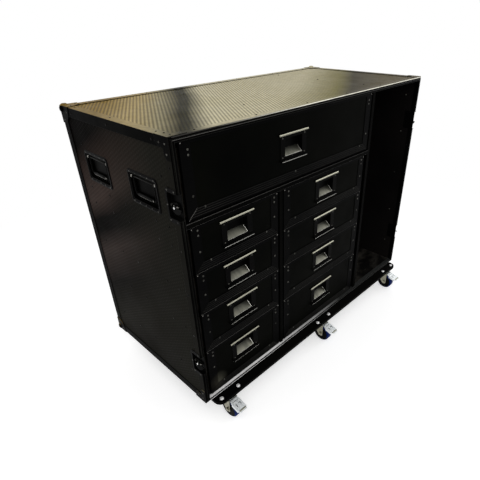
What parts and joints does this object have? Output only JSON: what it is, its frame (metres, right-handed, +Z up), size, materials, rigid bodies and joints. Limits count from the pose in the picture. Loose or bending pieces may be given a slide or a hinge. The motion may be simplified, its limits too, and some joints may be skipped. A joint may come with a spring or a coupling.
{
  "type": "tool flight case",
  "caption": "Wheeled flight-case workbox with its front cover off: a wide top drawer over two drawer columns, an open side bay, spring handles and turn latches.",
  "frame": {"origin": "on the floor at the centre of the whole outline, casters trailing forwards and drawers shut", "axes": "+X to the right seen from the front, +Y to the back, +Z up; the drawers face -Y"},
  "size_m": [1.3247, 0.714, 1.0574],
  "materials": {
    "laminated_board": "black phenolic-laminated ply, satin",
    "carcass_board": "black laminated ply with black aluminium edging, lightly scuffed",
    "black_aluminium": "black anodised extrusion, satin, bright along worn edges",
    "black_steel": "black plated pressed steel, semi-gloss",
    "pull_steel": "grey satin pressed steel with worn lips",
    "zinc_steel": "bright zinc plate",
    "wheel_tread": "blue elastic rubber tread on a black hub"
  },
  "bodies": {
    "case": {"top_panel": "laminated_board", "bottom_panel": "laminated_board", "left_side_panel": "laminated_board", "right_side_panel": "laminated_board", "back_panel": "laminated_board", "drawer_shelf": "carcass_board", "column_divider": "carcass_board", "compartment_divider": "carcass_board", "front_frame": "black_aluminium", "edge_frame": "black_aluminium", "caster_board": "carcass_board", "left_lower_latch_dish": "black_steel", "left_upper_latch_dish": "black_steel", "right_lower_latch_dish": "black_steel", "right_upper_latch_dish": "black_steel"},
    "top_drawer": {"top_drawer": "laminated_board", "top_drawer_pull": "pull_steel"},
    "left_drawer_1": {"left_drawer_1": "laminated_board", "left_drawer_1_pull": "pull_steel"},
    "left_drawer_2": {"left_drawer_2": "laminated_board", "left_drawer_2_pull": "pull_steel"},
    "left_drawer_3": {"left_drawer_3": "laminated_board", "left_drawer_3_pull": "pull_steel"},
    "left_drawer_4": {"left_drawer_4": "laminated_board", "left_drawer_4_pull": "pull_steel"},
    "right_drawer_1": {"right_drawer_1": "laminated_board", "right_drawer_1_pull": "pull_steel"},
    "right_drawer_2": {"right_drawer_2": "laminated_board", "right_drawer_2_pull": "pull_steel"},
    "right_drawer_3": {"right_drawer_3": "laminated_board", "right_drawer_3_pull": "pull_steel"},
    "right_drawer_4": {"right_drawer_4": "laminated_board", "right_drawer_4_pull": "pull_steel"},
    "left_front_handle_bail": {"left_front_handle_bail": "black_steel"},
    "left_rear_handle_bail": {"left_rear_handle_bail": "black_steel"},
    "left_upper_latch_rotor": {"left_upper_latch_rotor": "black_steel"},
    "left_upper_latch_wing": {"left_upper_latch_wing": "black_steel"},
    "left_lower_latch_rotor": {"left_lower_latch_rotor": "black_steel"},
    "left_lower_latch_wing": {"left_lower_latch_wing": "black_steel"},
    "right_front_handle_bail": {"right_front_handle_bail": "black_steel"},
    "right_rear_handle_bail": {"right_rear_handle_bail": "black_steel"},
    "right_upper_latch_rotor": {"right_upper_latch_rotor": "black_steel"},
    "right_upper_latch_wing": {"right_upper_latch_wing": "black_steel"},
    "right_lower_latch_rotor": {"right_lower_latch_rotor": "black_steel"},
    "right_lower_latch_wing": {"right_lower_latch_wing": "black_steel"},
    "front_left_caster_fork": {"front_left_caster_fork": "zinc_steel"},
    "front_left_caster_wheel": {"front_left_caster_wheel": "wheel_tread"},
    "front_left_brake_pedal": {"front_left_brake_pedal": "zinc_steel"},
    "front_middle_caster_fork": {"front_middle_caster_fork": "zinc_steel"},
    "front_middle_caster_wheel": {"front_middle_caster_wheel": "wheel_tread"},
    "front_middle_brake_pedal": {"front_middle_brake_pedal": "zinc_steel"},
    "front_right_caster_fork": {"front_right_caster_fork": "zinc_steel"},
    "front_right_caster_wheel": {"front_right_caster_wheel": "wheel_tread"},
    "front_right_brake_pedal": {"front_right_brake_pedal": "zinc_steel"},
    "rear_left_caster_fork": {"rear_left_caster_fork": "zinc_steel"},
    "rear_left_caster_wheel": {"rear_left_caster_wheel": "wheel_tread"},
    "rear_middle_caster_fork": {"rear_middle_caster_fork": "zinc_steel"},
    "rear_middle_caster_wheel": {"rear_middle_caster_wheel": "wheel_tread"},
    "rear_right_caster_fork": {"rear_right_caster_fork": "zinc_steel"},
    "rear_right_caster_wheel": {"rear_right_caster_wheel": "wheel_tread"}
  },
  "joints": [
    {"name": "top_drawer_slide", "type": "slide", "parent": "case", "child": "top_drawer", "axis": [0, -1, 0], "range_m": [0, 0.4]},
    {"name": "left_drawer_1_slide", "type": "slide", "parent": "case", "child": "left_drawer_1", "axis": [0, -1, 0], "range_m": [0, 0.4]},
    {"name": "left_drawer_2_slide", "type": "slide", "parent": "case", "child": "left_drawer_2", "axis": [0, -1, 0], "range_m": [0, 0.4]},
    {"name": "left_drawer_3_slide", "type": "slide", "parent": "case", "child": "left_drawer_3", "axis": [0, -1, 0], "range_m": [0, 0.4]},
    {"name": "left_drawer_4_slide", "type": "slide", "parent": "case", "child": "left_drawer_4", "axis": [0, -1, 0], "range_m": [0, 0.4]},
    {"name": "right_drawer_1_slide", "type": "slide", "parent": "case", "child": "right_drawer_1", "axis": [0, -1, 0], "range_m": [0, 0.4]},
    {"name": "right_drawer_2_slide", "type": "slide", "parent": "case", "child": "right_drawer_2", "axis": [0, -1, 0], "range_m": [0, 0.4]},
    {"name": "right_drawer_3_slide", "type": "slide", "parent": "case", "child": "right_drawer_3", "axis": [0, -1, 0], "range_m": [0, 0.4]},
    {"name": "right_drawer_4_slide", "type": "slide", "parent": "case", "child": "right_drawer_4", "axis": [0, -1, 0], "range_m": [0, 0.4]},
    {"name": "left_front_bail_hinge", "type": "hinge", "parent": "case", "child": "left_front_handle_bail", "pos_m": [-0.6434, -0.0975, 0.9031], "axis": [0, 1, 0], "range_deg": [0, 90], "stiffness_Nm_per_rad": 0.12, "springref_deg": -20.05},
    {"name": "left_rear_bail_hinge", "type": "hinge", "parent": "case", "child": "left_rear_handle_bail", "pos_m": [-0.6434, 0.1765, 0.9031], "axis": [0, 1, 0], "range_deg": [0, 90], "stiffness_Nm_per_rad": 0.12, "springref_deg": -20.05},
    {"name": "left_upper_latch_turn", "type": "hinge", "parent": "case", "child": "left_upper_latch_rotor", "pos_m": [-0.65, -0.2465, 0.8681], "axis": [-1, 0, 0], "range_deg": [0, 180]},
    {"name": "left_upper_wing_fold", "type": "hinge", "parent": "left_upper_latch_rotor", "child": "left_upper_latch_wing", "pos_m": [-0.6455, -0.2465, 0.8681], "axis": [0, 1, 0], "range_deg": [0, 90]},
    {"name": "left_lower_latch_turn", "type": "hinge", "parent": "case", "child": "left_lower_latch_rotor", "pos_m": [-0.65, -0.2465, 0.2961], "axis": [-1, 0, 0], "range_deg": [0, 180]},
    {"name": "left_lower_wing_fold", "type": "hinge", "parent": "left_lower_latch_rotor", "child": "left_lower_latch_wing", "pos_m": [-0.6455, -0.2465, 0.2961], "axis": [0, 1, 0], "range_deg": [-12, 78]},
    {"name": "right_front_bail_hinge", "type": "hinge", "parent": "case", "child": "right_front_handle_bail", "pos_m": [0.6434, -0.0975, 0.9031], "axis": [0, -1, 0], "range_deg": [0, 90], "stiffness_Nm_per_rad": 0.12, "springref_deg": -20.05},
    {"name": "right_rear_bail_hinge", "type": "hinge", "parent": "case", "child": "right_rear_handle_bail", "pos_m": [0.6434, 0.1765, 0.9031], "axis": [0, -1, 0], "range_deg": [0, 90], "stiffness_Nm_per_rad": 0.12, "springref_deg": -20.05},
    {"name": "right_upper_latch_turn", "type": "hinge", "parent": "case", "child": "right_upper_latch_rotor", "pos_m": [0.65, -0.2465, 0.8681], "axis": [1, 0, 0], "range_deg": [0, 180]},
    {"name": "right_upper_wing_fold", "type": "hinge", "parent": "right_upper_latch_rotor", "child": "right_upper_latch_wing", "pos_m": [0.6455, -0.2465, 0.8681], "axis": [0, -1, 0], "range_deg": [0, 90]},
    {"name": "right_lower_latch_turn", "type": "hinge", "parent": "case", "child": "right_lower_latch_rotor", "pos_m": [0.65, -0.2465, 0.2961], "axis": [1, 0, 0], "range_deg": [0, 180]},
    {"name": "right_lower_wing_fold", "type": "hinge", "parent": "right_lower_latch_rotor", "child": "right_lower_latch_wing", "pos_m": [0.6455, -0.2465, 0.2961], "axis": [0, -1, 0], "range_deg": [-70, 20]},
    {"name": "front_left_swivel", "type": "hinge", "parent": "case", "child": "front_left_caster_fork", "pos_m": [-0.56, -0.2555, 0.0917], "axis": [0, 0, 1], "continuous": true},
    {"name": "front_left_wheel_spin", "type": "hinge", "parent": "front_left_caster_fork", "child": "front_left_caster_wheel", "pos_m": [-0.56, -0.2875, 0.03966], "axis": [1, 0, 0], "continuous": true},
    {"name": "front_left_pedal_hinge", "type": "hinge", "parent": "front_left_caster_fork", "child": "front_left_brake_pedal", "pos_m": [-0.56, -0.2955, 0.0845], "axis": [1, 0, 0], "range_deg": [0, 10]},
    {"name": "front_middle_swivel", "type": "hinge", "parent": "case", "child": "front_middle_caster_fork", "pos_m": [0, -0.2555, 0.0917], "axis": [0, 0, 1], "continuous": true},
    {"name": "front_middle_wheel_spin", "type": "hinge", "parent": "front_middle_caster_fork", "child": "front_middle_caster_wheel", "pos_m": [0, -0.2875, 0.03966], "axis": [1, 0, 0], "continuous": true},
    {"name": "front_middle_pedal_hinge", "type": "hinge", "parent": "front_middle_caster_fork", "child": "front_middle_brake_pedal", "pos_m": [0, -0.2955, 0.0845], "axis": [1, 0, 0], "range_deg": [0, 10]},
    {"name": "front_right_swivel", "type": "hinge", "parent": "case", "child": "front_right_caster_fork", "pos_m": [0.56, -0.2555, 0.0917], "axis": [0, 0, 1], "continuous": true},
    {"name": "front_right_wheel_spin", "type": "hinge", "parent": "front_right_caster_fork", "child": "front_right_caster_wheel", "pos_m": [0.56, -0.2875, 0.03966], "axis": [1, 0, 0], "continuous": true},
    {"name": "front_right_pedal_hinge", "type": "hinge", "parent": "front_right_caster_fork", "child": "front_right_brake_pedal", "pos_m": [0.56, -0.2955, 0.0845], "axis": [1, 0, 0], "range_deg": [0, 10]},
    {"name": "rear_left_swivel", "type": "hinge", "parent": "case", "child": "rear_left_caster_fork", "pos_m": [-0.56, 0.2405, 0.0917], "axis": [0, 0, 1], "continuous": true},
    {"name": "rear_left_wheel_spin", "type": "hinge", "parent": "rear_left_caster_fork", "child": "rear_left_caster_wheel", "pos_m": [-0.56, 0.2085, 0.03966], "axis": [1, 0, 0], "continuous": true},
    {"name": "rear_middle_swivel", "type": "hinge", "parent": "case", "child": "rear_middle_caster_fork", "pos_m": [0, 0.2405, 0.0917], "axis": [0, 0, 1], "continuous": true},
    {"name": "rear_middle_wheel_spin", "type": "hinge", "parent": "rear_middle_caster_fork", "child": "rear_middle_caster_wheel", "pos_m": [0, 0.2085, 0.03966], "axis": [1, 0, 0], "continuous": true},
    {"name": "rear_right_swivel", "type": "hinge", "parent": "case", "child": "rear_right_caster_fork", "pos_m": [0.56, 0.2405, 0.0917], "axis": [0, 0, 1], "continuous": true},
    {"name": "rear_right_wheel_spin", "type": "hinge", "parent": "rear_right_caster_fork", "child": "rear_right_caster_wheel", "pos_m": [0.56, 0.2085, 0.03966], "axis": [1, 0, 0], "continuous": true}
  ]
}
